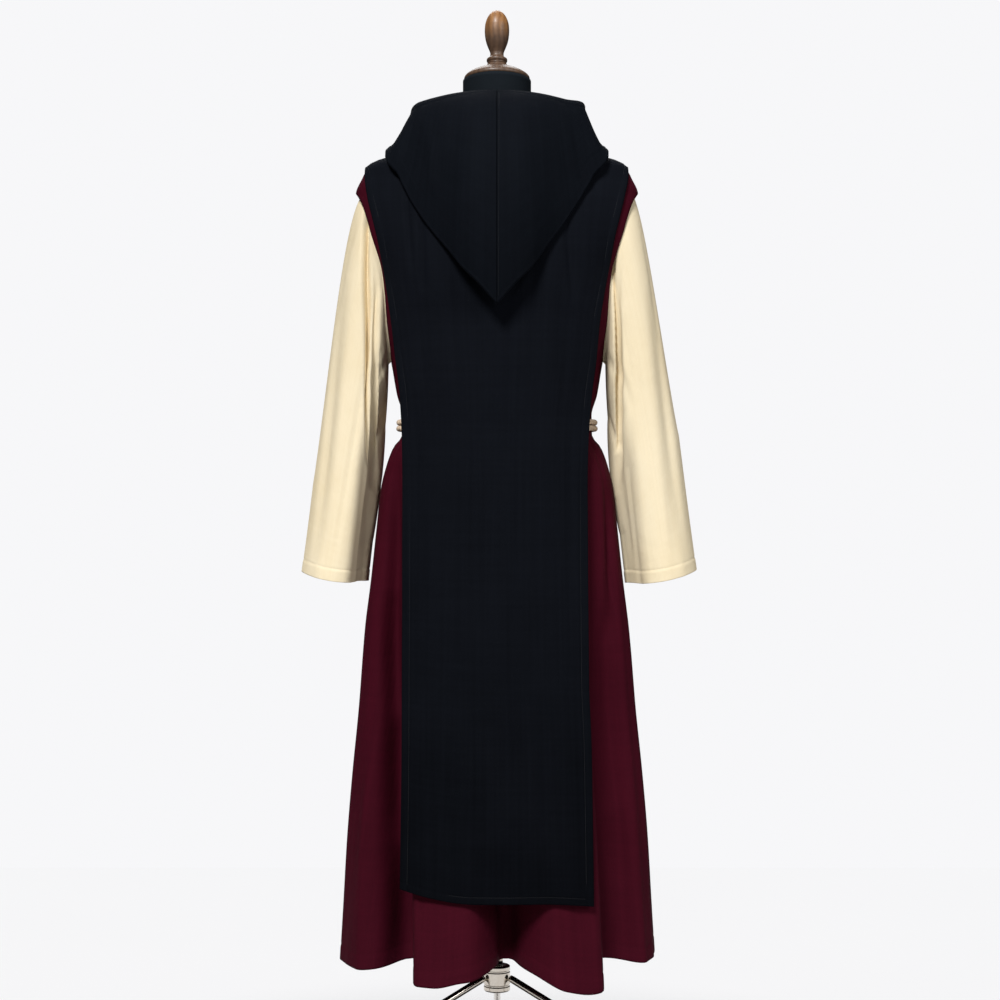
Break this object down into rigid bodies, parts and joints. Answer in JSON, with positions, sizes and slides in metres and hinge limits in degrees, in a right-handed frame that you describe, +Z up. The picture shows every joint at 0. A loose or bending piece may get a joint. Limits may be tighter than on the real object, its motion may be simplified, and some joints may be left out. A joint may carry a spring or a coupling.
{
  "type": "monk habit on a limbless dress form",
  "caption": "Hooded monk's habit with scapular, wide sleeves and rope belt, hanging open and hollow on a dress form with a tripod stand.",
  "frame": {"origin": "on the floor, under the middle of the whole part's box", "axes": "+Z up, the garment's front towards -Y and its back towards +Y, the wearer's left towards +X"},
  "size_m": [0.7178, 0.5721, 1.9049],
  "materials": {
    "tunic_cloth": "matt burgundy plain weave",
    "sleeve_cloth": "matt cream plain weave",
    "scapular_cloth": "matt black plain weave",
    "hood_cloth": "matt black plain weave",
    "rope": "twisted cream cotton",
    "form_cloth": "black jersey cover",
    "wood": "varnished turned wood",
    "chrome": "polished",
    "rubber": "matt"
  },
  "bodies": {
    "root": {"tunic_back": "tunic_cloth", "tunic_front": "tunic_cloth", "sleeve_left": "sleeve_cloth", "sleeve_right": "sleeve_cloth", "scapular_back": "scapular_cloth", "scapular_front": "scapular_cloth", "hood_left": "hood_cloth", "hood_right": "hood_cloth", "belt_turn_upper": "rope", "belt_turn_lower": "rope", "belt_knot": "rope", "belt_end_left": "rope", "belt_end_right": "rope", "form_torso": "form_cloth", "neck_cap": "wood", "finial": "wood", "stand_pole": "chrome", "stand_hub": "chrome", "leg_1": "chrome", "leg_2": "chrome", "leg_3": "chrome", "foot_1": "rubber", "foot_2": "rubber", "foot_3": "rubber"}
  },
  "joints": []
}
